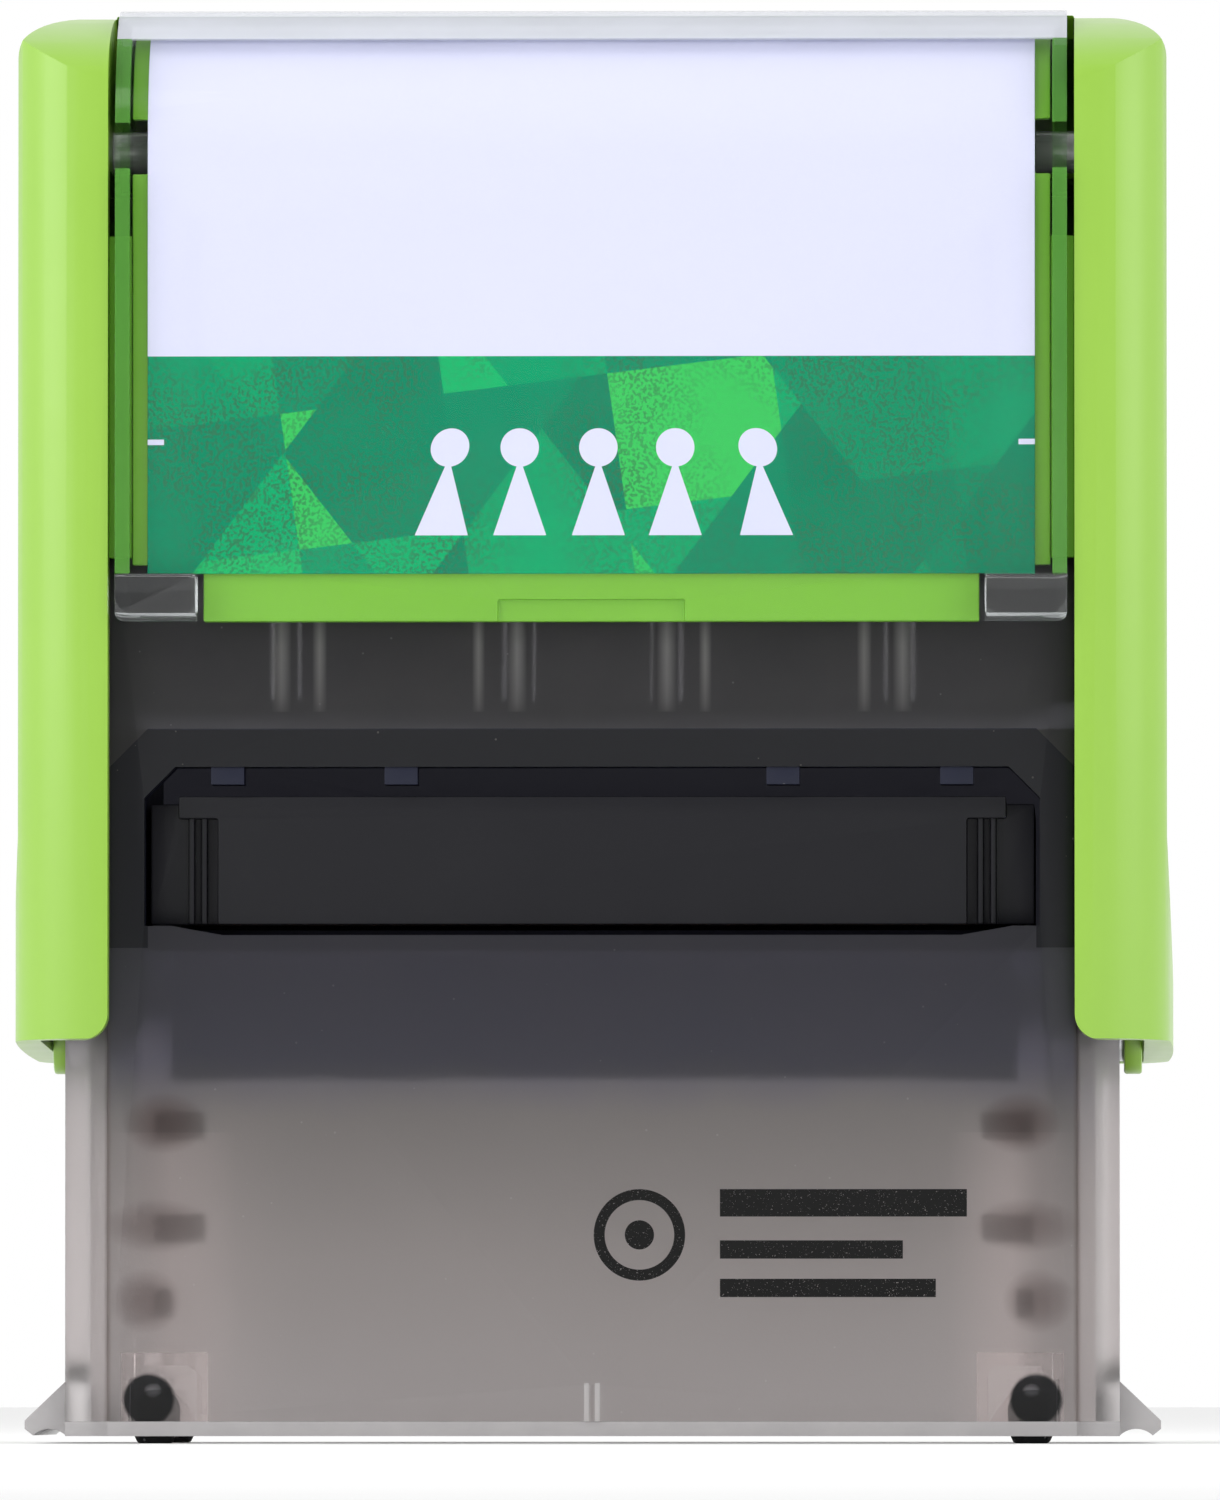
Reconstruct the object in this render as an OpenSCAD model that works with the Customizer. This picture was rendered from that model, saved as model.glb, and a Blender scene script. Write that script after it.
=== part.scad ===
// Self-inking stamp: a sprung handle slides down over a smoke housing, and a carrier turns its
// print plate from the ink pad down to the paper on the way. An index window hinges open in front.
// Millimetres, +Z up. The origin is the centre of the footprint on the paper, and -Y is the front.

/* [Print plate] */
// Width of the print plate
plate_w = 46; // [44:1:46]
// Depth of the print plate
plate_d = 18; // [16:1:18]
// Height of the print face above the carrier's pivot
print_h = 5.6; // [5.4:0.1:5.6]

/* [Motion] */
// Travel of the handle from rest down to the paper
stroke = 17; // [16.5:0.1:17]
// Outward travel of the ink cartridge, until it is clear of the handle (used by the joint)
pad_travel = 34; // [32:1:40]

/* [Handle] */
// Width over the two grips
handle_w = 64; // [63.6:0.2:66]
// Depth of the handle, front to back
handle_d = 34.4; // [34.2:0.1:34.6]
// Height of the top of the handle at rest
handle_top = 78.6; // [78.4:0.1:78.6]
// Height of the bottom of the grips at rest
grip_bottom = 21.2; // [20.8:0.1:22]
// Distance between the two grips
grip_gap = 52.8; // [52.6:0.1:53]

/* [Housing] */
// Width of the housing over its side flanges
house_w = 57.7; // [57.5:0.1:57.8]
// Width of the raised front face
face_w = 53; // [52.8:0.1:53.2]
// Depth over the raised faces
face_d = 29.2; // [29:0.1:29.2]
// Wall thickness
wall = 1.4; // [1.2:0.1:1.4]

/* [Index window] */
// Width of the clear window
window_w = 52; // [51.8:0.1:52]
// Height of the window's lower edge at rest
window_z = 44.9; // [44.7:0.1:45.2]
// Outer radius of the curved top, about the hinge
window_r = 7.8; // [7.7:0.1:7.8]
// Width of the index card
card_w = 48.5; // [48:0.1:48.6]

/* [Details] */
// Radius of the carrier's trunnions
trunnion_r = 1.5; // [1.4:0.1:1.5]
// Radius of the window's hinge pins
hinge_pin_r = 1.175; // [1.1:0.005:1.2]
// Turns in each return spring
spring_turns = 9; // [7:1:10]

/* [Hidden] */
$fn = 48;
eps = 0.01;

// Housing: half sizes in plan, and heights
house_x = house_w / 2;
face_x = face_w / 2;
face_y = face_d / 2;
flange_y = face_y - 0.7;
rim_z = 0.4;
rim_top = 1.2;
house_top = 52.5;
deck_z = 39.1;
deck_top = deck_z + wall;

// Feet
foot_x = 24;
foot_y = 11.85;
foot_r = 1.3;
foot_h = 3.1;

// Cartridge opening in the front wall
slot_x = 24.5;
slot_z0 = 27.8;
slot_z1 = 37;
slot_chamfer = 1.7;
slot_sill = 0.5;

// Carrier
pivot_z = stroke + print_h;
carrier_x = 23.5;
carrier_y = 9.6;
carrier_low = 3;
carrier_high = 2.6;
foam_t = 1.2;
plate_base_t = 1;
flip_r = 6;
flip_pin_r = 1;
cam_x0 = 24.2;
cam_x1 = house_x - wall - 0.05;
cam_y = 10.8;
cam_z0 = 3.3;
cam_z1 = 26.8;
slide_gap = 0.2;

// Cage that guides the cartridge
cage_y0 = flange_y - wall;
cage_t = 1.1;
cage_z0 = 26.9;
cage_back = 12.3;

// Cartridge
tray_x = 24.2;
tray_front = 13.9;
tray_z0 = 28.4;
tray_z1 = 35.4;
felt_z0 = 29.25;
felt_x = 23.6;
felt_y = 11;

// Handle
grip_x0 = grip_gap / 2;
grip_x1 = handle_w / 2;
handle_y = handle_d / 2;
lip_y = 15;
grip_wall_x = grip_x1 - 1.8;
top_r = 7.7;
cap_t = 1.2;
frame_z = 69.8;
frame_t = 1.5;
frame_x = 30.1;
leg_t = 1;
leg_y = 2.2;
frame_front = 3.5;
cavity_z = frame_z - 0.15;

// Index window, panel and card
hinge_y = -9.7;
hinge_z = 70.9;
window_x = window_w / 2;
window_t = 0.8;
window_y = hinge_y - window_r;
cheek_t = 0.7;
window_arc = 104;
panel_x = 25.1;
panel_r = window_r - 1.35;
panel_t = 1.25;
panel_lip_x = 21;
card_r = window_r - 1;
card_t = 0.25;
card_z = 47.5;
card_arc = 56;
block_x = 21.6;
block_z = 47.4;
thumb_x = 5.7;
thumb_z = 46.5;

// Return springs
spring_x = 10.35;
spring_r = 3;
wire_r = 0.35;
spring_z0 = deck_top + wire_r;
spring_z1 = frame_z - wire_r;

// Lock button, at the back
lock_z = 49;
lock_x = 4;
lock_h = 5;
lock_tongue_x = 1.5;
lock_tongue_h = 1.2;

smoke = "dimgray";
lime = "yellowgreen";
navy = "midnightblue";
black = [0.1, 0.1, 0.11];
clear = "lightcyan";
steel = "silver";

// ---- Helpers ----

// A block between two corners
module block(x, y, z) {
    translate([x[0], y[0], z[0]]) cube([x[1] - x[0], y[1] - y[0], z[1] - z[0]]);
}

// The same shape on the left and on the right
module both_sides() {
    children();
    mirror([1, 0, 0]) children();
}

// A shape near the front right corner, repeated at all four corners
module four_corners() {
    both_sides() {
        children();
        mirror([0, 1, 0]) children();
    }
}

// A Y-Z outline extruded along X
module along_x(x0, x1) {
    translate([x0, 0, 0]) rotate([90, 0, 90]) linear_extrude(x1 - x0) children();
}

// An X-Z outline extruded along Y
module along_y(y0, y1) {
    translate([0, y1, 0]) rotate([90, 0, 0]) linear_extrude(y1 - y0) children();
}

// A round bar along X
module bar_x(x0, x1, r, y, z) {
    translate([x0, y, z]) rotate([0, 90, 0]) cylinder(h = x1 - x0, r = r);
}

// A rectangle from corner to corner, in two dimensions
module rect(x0, x1, z0, z1) {
    translate([x0, z0]) square([x1 - x0, z1 - z0]);
}

// A rectangle with four round corners
module round_rect(x0, x1, z0, z1, r) {
    rect(x0 + r, x1 - r, z0, z1);
    rect(x0, x1, z0 + r, z1 - r);
    for (x = [x0 + r, x1 - r], z = [z0 + r, z1 - r])
        translate([x, z]) circle(r);
}

// Part of a ring about the window's hinge: angles run from the front up over the top
module hinge_arc(r0, r1, a0, a1) {
    far = 2 * r1;
    steps = 4;
    translate([hinge_y, hinge_z]) intersection() {
        difference() {
            circle(r1);
            circle(r0);
        }
        polygon(concat([[0, 0]], [for (i = [0:steps])
            let (a = a0 + (a1 - a0) * i / steps) [-far * cos(a), far * sin(a)]]));
    }
}

// ---- Base: everything that stays on the paper ----

module housing_plan(inset) {
    square([2 * (face_x - inset), 2 * (face_y - inset)], center = true);
    square([2 * (house_x - inset), 2 * (flange_y - inset)], center = true);
}

module slot_outline() {
    half = [[0, slot_z0], [20.2, slot_z0], [23, slot_z0 + slot_sill], [slot_x, slot_z0 + slot_sill],
            [slot_x, slot_z1 - slot_chamfer], [slot_x - slot_chamfer, slot_z1], [0, slot_z1]];
    polygon(half);
    mirror([1, 0]) polygon(half);
}

// The slot that a trunnion slides down, as a Y-Z outline
module trunnion_slot() {
    r = trunnion_r + slide_gap;
    rect(-r, r, pivot_z - stroke, pivot_z);
    for (z = [pivot_z - stroke, pivot_z]) translate([0, z]) circle(r);
}

module housing() {
    notch_x = lock_tongue_x + 0.3;
    notch_h = lock_tongue_h + 0.6;
    well_r = 5;
    columns = [[4, 1], [16.8, 0.9]];
    ribs = [3.1, 6.2, 14.8, 18.3];
    rib_t = 0.5;
    mark_proud = 0.15;
    color(smoke) difference() {
        union() {
            translate([0, 0, rim_top]) linear_extrude(house_top - rim_top) difference() {
                housing_plan(0);
                housing_plan(wall);
            }
            translate([0, 0, deck_z]) linear_extrude(wall) housing_plan(wall);
            for (s = [-1, 1]) translate([s * spring_x, 0, deck_top - eps])
                cylinder(h = 3, r = well_r);
            // Columns and thin ribs inside the front wall, above the deck
            both_sides() for (c = columns) translate([c[0], wall - face_y, deck_z])
                cylinder(h = house_top - deck_z, r = c[1]);
            both_sides() for (x = ribs)
                block([x - rib_t / 2, x + rib_t / 2], [wall - face_y - eps, wall + rib_t - face_y],
                      [deck_z, house_top]);
            // Centring mark at the foot of the front and back walls
            for (y = [-face_y - mark_proud, face_y - 0.1]) both_sides()
                block([0.15, 0.4], [y, y + mark_proud + 0.1], [rim_top, 3.2]);
        }
        along_y(-face_y - 1, -cage_y0 + 1) slot_outline();
        both_sides() along_x(face_x - 2, house_x + 1) trunnion_slot();
        for (s = [-1, 1]) translate([s * spring_x, 0, deck_top])
            cylinder(h = 4, r = well_r - 1);
        for (z = [lock_z, lock_z - stroke])
            block([-notch_x, notch_x], [face_y - wall - 1, face_y + 1], [z - notch_h / 2, z + notch_h / 2]);
    }
}

module base_rim() {
    wing_x = 31.1;
    wing_z = 3.4;
    wing_y = 13.2;
    foot_hole_r = 1.35;
    color(clear) difference() {
        union() {
            translate([0, 0, rim_z]) linear_extrude(rim_top - rim_z) difference() {
                housing_plan(0);
                housing_plan(wall);
            }
            // Flared wings along the two ends, scalloped underneath
            both_sides() along_y(-wing_y, wing_y) difference() {
                polygon([[house_x, rim_z], [wing_x - 0.5, rim_z], [wing_x, 0.8], [wing_x, 1.25],
                         [wing_x - 0.15, 1.4], [house_x, wing_z]]);
                translate([house_x + 0.9, rim_z - 0.9]) circle(1.3);
            }
            // Clear pockets that hold the feet
            four_corners()
                along_y(-face_y + wall, -10.9) round_rect(21.6, face_x - wall, rim_z, 4.3, 0.6);
        }
        four_corners() translate([foot_x, -foot_y, -1]) cylinder(h = 4.2, r = foot_hole_r);
    }
}

module rubber_feet() {
    color(black) four_corners() translate([foot_x, -foot_y, 0]) {
        cylinder(h = 0.5, r1 = foot_r - 0.4, r2 = foot_r);
        translate([0, 0, 0.5]) cylinder(h = foot_h - 1, r = foot_r);
        translate([0, 0, foot_h - 0.5]) cylinder(h = 0.5, r1 = foot_r, r2 = foot_r - 0.4);
    }
}

module pad_cage() {
    shoulder = 2.65;
    plate_x = 27.4;
    collar = 0.8;
    side_x0 = 24.6;
    side_x1 = 26;
    color(navy) {
        difference() {
            union() {
                along_y(-cage_y0, -cage_y0 + cage_t)
                    polygon([[-plate_x, cage_z0], [plate_x, cage_z0], [plate_x, deck_z - shoulder],
                             [plate_x - shoulder, deck_z], [shoulder - plate_x, deck_z],
                             [-plate_x, deck_z - shoulder]]);
                along_y(-face_y + wall, -cage_y0)
                    rect(-25.1, 25.1, cage_z0, deck_z);
            }
            along_y(-face_y, 0) slot_outline();
        }
        both_sides() block([side_x0, side_x1], [-cage_y0 + cage_t, cage_back], [cage_z0, deck_z]);
        block([-side_x0, side_x0], [-cage_y0 + cage_t, cage_back], [deck_z - cage_t, deck_z]);
        // Tabs that hang into the opening and hold the cartridge down
        for (x = [10.45, 19.95]) both_sides()
            block([x - 0.9, x + 0.9], [-face_y + 0.1, -cage_y0 + cage_t], [slot_z1 - 0.95, slot_z1 + eps]);
    }
}

// Centre of the flip pin, in Y and Z, when the carrier has turned by a degrees
function flip_path(a) = [-flip_r * cos(a), pivot_z - stroke * a / 180 - flip_r * sin(a)];
function flip_dir(a) = let (d = flip_path(a + 0.5) - flip_path(a - 0.5)) d / norm(d);
function flip_side(a, w) = let (d = flip_dir(a)) flip_path(a) + w * [-d[1], d[0]];

module cam_groove() {
    w = flip_pin_r + slide_gap;
    last = 150;
    polygon(concat([for (a = [0:10:last]) flip_side(a, w)], [for (a = [last:-10:0]) flip_side(a, -w)]));
    for (a = [0, last, 165, 180]) translate(flip_path(a)) circle(w);
}

// Plate with the groove that turns the carrier over, on the right-hand side
module cam_plate() {
    groove_x = 26.5;
    color(smoke) difference() {
        union() {
            block([cam_x0, cam_x1], [-cam_y, cam_y], [cam_z0, cam_z1]);
            for (z = [11.8, 17.3]) block([21.4, cam_x1], [-cage_y0 + 0.1, -cam_y], [z - 0.75, z + 0.75]);
            block([23.2, cam_x1], [-cage_y0 + 0.1, -cam_y], [7.05, 8.55]);
        }
        along_x(cam_x0 - 1, groove_x) cam_groove();
        along_x(cam_x0 - 1, cam_x1 + 1) trunnion_slot();
    }
}

module left_cam_plate() { mirror([1, 0, 0]) cam_plate(); }
module right_cam_plate() { cam_plate(); }

// Points of a coil spring: closed ends, evenly wound between them
ring_sides = 7;
rings_per_turn = 18;
function coil_z(t) = let (k = t / spring_turns, lead = 2 * wire_r + 0.05, end = 1 / spring_turns)
    k < end ? spring_z0 + lead * t :
    k > 1 - end ? spring_z1 - lead * (spring_turns - t) :
    spring_z0 + lead + (spring_z1 - spring_z0 - 2 * lead) * (k - end) / (1 - 2 * end);
function coil_ring(t) = [for (j = [0:ring_sides - 1])
    let (b = 360 * j / ring_sides, r = spring_r + wire_r * cos(b))
    [r * cos(360 * t), r * sin(360 * t), coil_z(t) + wire_r * sin(b)]];

module return_spring() {
    count = spring_turns * rings_per_turn;
    points = [for (i = [0:count]) each coil_ring(i / rings_per_turn)];
    walls = [for (i = [0:count - 1], j = [0:ring_sides - 1])
        let (k = (j + 1) % ring_sides, a = i * ring_sides, b = a + ring_sides)
        [a + j, b + j, b + k, a + k]];
    first = [[for (j = [0:ring_sides - 1]) j]];
    last = [[for (j = [ring_sides - 1:-1:0]) count * ring_sides + j]];
    color(steel) polyhedron(points, concat(walls, first, last));
}

module left_return_spring() { translate([-spring_x, 0, 0]) return_spring(); }
module right_return_spring() { translate([spring_x, 0, 0]) return_spring(); }

// ---- Handle ----

// Side view of the handle: straight sides and a round top
module handle_side(inset) {
    y = handle_y - inset;
    r = top_r - inset;
    rect(-y, y, 0, handle_top - top_r);
    rect(-y + r, y - r, 0, handle_top - inset);
    for (s = [-1, 1]) translate([s * (y - r), handle_top - top_r]) circle(r);
}

// Grip on the right-hand side: a D-section channel, closed at the top
module grip() {
    nose_r = 4.2;
    crown_r = 3.6;
    color(lime) difference() {
        intersection() {
            translate([0, 0, grip_bottom]) linear_extrude(handle_top - grip_bottom) {
                rect(grip_x0, grip_x1 - nose_r, -handle_y, handle_y);
                rect(grip_x0, grip_x1, -handle_y + nose_r, handle_y - nose_r);
                for (s = [-1, 1]) translate([grip_x1 - nose_r, s * (handle_y - nose_r)]) circle(nose_r);
            }
            along_x(grip_x0, grip_x1) handle_side(0);
            along_y(-handle_y, handle_y) {
                rect(grip_x0, grip_x1, grip_bottom, handle_top - crown_r);
                rect(grip_x0, grip_x1 - crown_r, grip_bottom, handle_top);
                translate([grip_x1 - crown_r, handle_top - crown_r]) circle(crown_r);
            }
        }
        block([grip_x0 - 1, grip_wall_x], [-lip_y, lip_y], [grip_bottom - 1, cavity_z]);
        block([grip_x0 - 1, grip_wall_x], [-frame_front - 0.1, lip_y], [cavity_z - 1, frame_z + frame_t]);
        bar_x(grip_x0 - 1, 28.5, hinge_pin_r, hinge_y, hinge_z);
        // Rounded inner corner at the lower front and back of the channel
        for (s = [-1, 1]) along_y(s * (handle_y + lip_y) / 2 - 2, s * (handle_y + lip_y) / 2 + 2)
            difference() {
                rect(grip_x0 - 1, grip_x0 + 1.4, grip_bottom - 1, grip_bottom + 1.4);
                translate([grip_x0 + 1.4, grip_bottom + 1.4]) circle(1.4);
            }
    }
}

module left_grip() { mirror([1, 0, 0]) grip(); }
module right_grip() { grip(); }

// Top and back of the handle, cut clear of the window's curved edge as it opens
module rear_cover() {
    front_y = -7.2;
    skirt_z = window_z;
    hole_gap = 0.15;
    color(lime) difference() {
        along_x(-grip_x0, grip_x0) difference() {
            intersection() {
                difference() {
                    handle_side(0);
                    handle_side(cap_t);
                }
                rect(front_y, handle_y, skirt_z, handle_top);
            }
            translate([hinge_y, hinge_z]) circle(window_r + 0.3);
        }
        along_y(handle_y - 2, handle_y + 1)
            round_rect(-lock_x - hole_gap, lock_x + hole_gap, lock_z - lock_h / 2 - hole_gap,
                       lock_z + lock_h / 2 + hole_gap, 1);
    }
}

// Panel behind the window, which carries the card over its curved top
module index_panel() {
    front = hinge_y - panel_r;
    notch_x = card_w / 2;
    color(lime) difference() {
        union() {
            along_x(-panel_x, panel_x) {
                rect(front, front + panel_t, window_z, hinge_z);
                hinge_arc(panel_r - panel_t, panel_r, 0, 100);
            }
            both_sides() block([panel_x - 0.1, grip_x0], [front + 0.05, front + panel_t], [window_z + 3.5, 66]);
        }
        both_sides() block([panel_lip_x + 0.2, grip_x0 + 1], [front - 1, front + 2], [window_z - 1, 48]);
        both_sides() block([notch_x, panel_x + 1], [front - 1, front + 3], [69.4, 72.4]);
        along_y(front - 1, front + 0.3) rect(-thumb_x + 0.6, thumb_x - 0.6, window_z - 1, thumb_z - 0.4);
    }
}

module index_card() {
    front = hinge_y - card_r;
    color("white") along_x(-card_w / 2, card_w / 2) {
        rect(front, front + card_t, card_z, hinge_z);
        hinge_arc(card_r - card_t, card_r, 0, card_arc);
    }
}

module window_hinge_pins() {
    color(steel) both_sides() bar_x(card_w / 2, 28.5, hinge_pin_r, hinge_y, hinge_z);
}

// Inner frame: a bridge over the springs, posts inside them, and a leg down to each trunnion
module handle_frame() {
    post_r = 1.6;
    post_z = 58.5;
    color(lime) {
        block([-frame_x, frame_x], [-frame_front, lip_y], [frame_z, frame_z + frame_t]);
        both_sides() difference() {
            union() {
                block([frame_x - leg_t, frame_x], [-leg_y, leg_y], [pivot_z, frame_z]);
                bar_x(frame_x - leg_t, frame_x, leg_y, 0, pivot_z);
            }
            bar_x(frame_x - 2, frame_x + 1, trunnion_r + 0.05, 0, pivot_z);
        }
        for (s = [-1, 1]) translate([s * spring_x, 0, post_z])
            cylinder(h = frame_z - post_z, r = post_r);
    }
}

// ---- Window ----

module window_cover() {
    corner = 0.5;
    inner = window_y + window_t;
    ear_r = 2.2;
    rail_t = 0.15;
    color(clear) difference() {
        union() {
            along_y(window_y, inner) {
                rect(-window_x + corner, window_x - corner, window_z, hinge_z);
                rect(-window_x, window_x, window_z + corner, hinge_z);
                for (s = [-1, 1]) translate([s * (window_x - corner), window_z + corner]) circle(corner);
            }
            along_x(-window_x, window_x) hinge_arc(window_r - window_t, window_r, 0, window_arc);
            // End cheeks with an ear about each hinge pin
            both_sides() along_x(window_x - cheek_t, window_x) {
                rect(window_y, window_y + 1.3, window_z + corner, hinge_z);
                hinge_arc(0.1, window_r, 0, window_arc);
                translate([hinge_y, hinge_z]) circle(ear_r);
            }
            // Thick blocks at the lower corners
            both_sides() block([block_x, window_x], [inner, window_y + 2.3], [window_z + corner, block_z]);
            // Rails that keep the card straight
            both_sides() block([block_x, block_x + 0.3], [inner, inner + rail_t], [block_z, 66.8]);
        }
        both_sides() bar_x(window_x - 2, window_x + 1, hinge_pin_r + 0.04, hinge_y, hinge_z);
        along_y(window_y - 1, window_y + 0.3) {
            rect(-thumb_x, thumb_x, window_z - 1, thumb_z - 0.6);
            rect(-thumb_x + 0.6, thumb_x - 0.6, window_z - 1, thumb_z);
            for (s = [-1, 1]) translate([s * (thumb_x - 0.6), thumb_z - 0.6]) circle(0.6);
        }
    }
}

// ---- Carrier, which turns over ----

module die_carrier() {
    rib = 1.2;
    cells = 6;
    pitch = (2 * carrier_x - rib) / cells;
    color(navy) difference() {
        block([-carrier_x, carrier_x], [-carrier_y, carrier_y],
              [pivot_z - carrier_low, pivot_z + carrier_high]);
        // Cored out underneath, between ribs
        for (i = [0:cells - 1], s = [-1, 1])
            translate([-carrier_x + rib + i * pitch, s > 0 ? rib / 2 : rib - carrier_y,
                       pivot_z - carrier_low - 1])
                cube([pitch - rib, carrier_y - 1.5 * rib, carrier_low + carrier_high - 0.4]);
    }
}

module carrier_trunnions() {
    color(steel) both_sides() bar_x(carrier_x, frame_x, trunnion_r, 0, pivot_z);
}

module flip_pins() {
    color(steel) both_sides() bar_x(carrier_x, 26.2, flip_pin_r, -flip_r, pivot_z);
}

module foam_cushion() {
    z = pivot_z + carrier_high;
    color("gray") block([-plate_w / 2 - 0.2, plate_w / 2 + 0.2], [-plate_d / 2 - 0.2, plate_d / 2 + 0.2],
                        [z, z + foam_t]);
}

// Print plate with raised plain bars in a border
module text_plate() {
    z = pivot_z + carrier_high + foam_t;
    top = pivot_z + print_h;
    bars = [[-4.5, 16], [-1.5, 13], [1.5, 15], [4.5, 10]];
    bar_h = 1.4;
    edge = 1;
    frame_w = 0.6;
    color("saddlebrown") {
        block([-plate_w / 2, plate_w / 2], [-plate_d / 2, plate_d / 2], [z, z + plate_base_t]);
        translate([0, 0, z + plate_base_t]) linear_extrude(top - z - plate_base_t) {
            difference() {
                square([plate_w - 2 * edge, plate_d - 2 * edge], center = true);
                square([plate_w - 2 * edge - 2 * frame_w, plate_d - 2 * edge - 2 * frame_w], center = true);
            }
            for (b = bars) translate([-b[1], b[0] - bar_h / 2]) square([2 * b[1], bar_h]);
        }
    }
}

// ---- Ink cartridge ----

module pad_tray() {
    face_t = 0.9;
    lip_z = 34.2;
    roof_z = 33.9;
    color(black) {
        // Walls round the felt, and the roof over it
        difference() {
            block([-tray_x, tray_x], [-tray_front + face_t, cage_back - 0.1], [tray_z0, tray_z1 - 0.4]);
            block([-felt_x, felt_x], [-felt_y, felt_y], [tray_z0 - 1, roof_z]);
        }
        // Front face, with a lip over its finger grooves
        block([-22.65, 22.65], [-tray_front, -tray_front + face_t], [lip_z, tray_z1]);
        block([-22.65, 22.65], [-tray_front + face_t, -11.5], [tray_z1 - 0.4, tray_z1]);
        block([-20.5, 20.5], [-tray_front, -tray_front + face_t], [tray_z0, lip_z]);
        for (x = [21.1, 21.8]) both_sides()
            block([x, x + 0.3], [-tray_front + 0.3, -tray_front + face_t], [tray_z0, lip_z]);
    }
}

module pad_felt() {
    color([0.16, 0.16, 0.2]) block([-felt_x, felt_x], [-felt_y, felt_y], [felt_z0, 33.9]);
}

// ---- Lock ----

module lock_button() {
    flange = 0.7;
    color(navy) {
        along_y(handle_y - cap_t - 0.05, handle_y + 0.3)
            round_rect(-lock_x, lock_x, lock_z - lock_h / 2, lock_z + lock_h / 2, 1);
        block([-lock_x - flange, lock_x + flange], [handle_y - cap_t - 0.4, handle_y - cap_t - 0.05],
              [lock_z - lock_h / 2 - flange, lock_z + lock_h / 2 + flange]);
        block([-lock_tongue_x, lock_tongue_x], [face_y + 0.25, handle_y - cap_t - 0.4 + eps],
              [lock_z - lock_tongue_h / 2, lock_z + lock_tongue_h / 2]);
    }
}

housing();
base_rim();
rubber_feet();
pad_cage();
left_cam_plate();
right_cam_plate();
left_return_spring();
right_return_spring();
left_grip();
right_grip();
rear_cover();
index_panel();
index_card();
window_hinge_pins();
handle_frame();
window_cover();
die_carrier();
carrier_trunnions();
flip_pins();
foam_cushion();
text_plate();
pad_tray();
pad_felt();
lock_button();
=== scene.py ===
# %% [markdown]
# # A self-inking stamp
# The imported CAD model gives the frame: every body, joint and size. This lesson gives it its looks.
# Each finish is built from nodes, and each visible piece is modelled or refined with Blender's own
# tools, in metres and in the CAD model's own place, so nothing has to be fitted afterwards.

# %% Load the frame
import math
from contextlib import contextmanager

import bmesh
import bpy
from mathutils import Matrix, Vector


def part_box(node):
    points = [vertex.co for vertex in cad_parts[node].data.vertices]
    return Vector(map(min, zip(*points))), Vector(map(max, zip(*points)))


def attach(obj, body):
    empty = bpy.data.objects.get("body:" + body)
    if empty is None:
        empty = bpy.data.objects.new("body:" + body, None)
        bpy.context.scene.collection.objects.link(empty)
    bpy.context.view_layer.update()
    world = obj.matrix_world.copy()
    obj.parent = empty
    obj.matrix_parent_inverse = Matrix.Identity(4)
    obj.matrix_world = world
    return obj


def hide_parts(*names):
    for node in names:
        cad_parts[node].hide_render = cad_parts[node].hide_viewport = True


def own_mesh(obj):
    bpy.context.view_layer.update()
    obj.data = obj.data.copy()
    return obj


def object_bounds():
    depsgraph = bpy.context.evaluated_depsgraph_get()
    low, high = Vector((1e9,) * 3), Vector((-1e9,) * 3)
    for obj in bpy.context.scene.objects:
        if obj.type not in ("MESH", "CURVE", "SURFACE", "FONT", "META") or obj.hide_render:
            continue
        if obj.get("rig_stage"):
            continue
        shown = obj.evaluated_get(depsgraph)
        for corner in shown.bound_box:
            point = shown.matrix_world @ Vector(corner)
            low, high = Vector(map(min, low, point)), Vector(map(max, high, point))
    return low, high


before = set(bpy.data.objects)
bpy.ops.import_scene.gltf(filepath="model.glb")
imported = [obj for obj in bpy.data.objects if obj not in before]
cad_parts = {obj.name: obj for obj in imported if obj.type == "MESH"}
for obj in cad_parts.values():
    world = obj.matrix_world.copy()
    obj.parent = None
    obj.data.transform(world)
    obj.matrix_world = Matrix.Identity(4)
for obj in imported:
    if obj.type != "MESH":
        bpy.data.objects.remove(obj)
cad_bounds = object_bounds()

mm = 0.001
hinge_y, hinge_z = -9.7 * mm, 70.9 * mm  # the window's hinge axis, which the card curves round too
foot_radius = 1.3 * mm
print("CAD size in mm:", [round((high - low) / mm, 2) for low, high in zip(*cad_bounds)])

# %% [markdown]
# ## Shader maths
# A material is easier to read as sums than as a web of nodes. `Wire` wraps one socket and turns
# `+`, `-`, `*`, `/` and comparisons into Math nodes. `Finish` makes every other node through one method.

# %% Wires and finishes
class Wire:
    """One output socket of a finish, which can be used in ordinary sums."""

    def __init__(self, finish, socket):
        self.finish = finish
        self.socket = socket

    def math(self, operation, *values):
        return self.finish.node("Math", {"operation": operation}, dict(enumerate(values)))

    def __add__(self, other):
        return self.math("ADD", self, other)

    def __sub__(self, other):
        return self.math("SUBTRACT", self, other)

    def __rsub__(self, other):
        return self.math("SUBTRACT", other, self)

    def __mul__(self, other):
        return self.math("MULTIPLY", self, other)

    def __truediv__(self, other):
        return self.math("DIVIDE", self, other)

    def __lt__(self, other):
        return self.math("LESS_THAN", self, other)

    def __gt__(self, other):
        return self.math("GREATER_THAN", self, other)

    def __abs__(self):
        return self.math("ABSOLUTE", self)

    def power(self, exponent):
        return self.math("POWER", self, exponent)

    def floor(self):
        return self.math("FLOOR", self)

    def larger(self, other):
        return self.math("MAXIMUM", self, other)

    def smaller(self, other):
        return self.math("MINIMUM", self, other)

    __radd__ = __add__
    __rmul__ = __mul__


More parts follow.
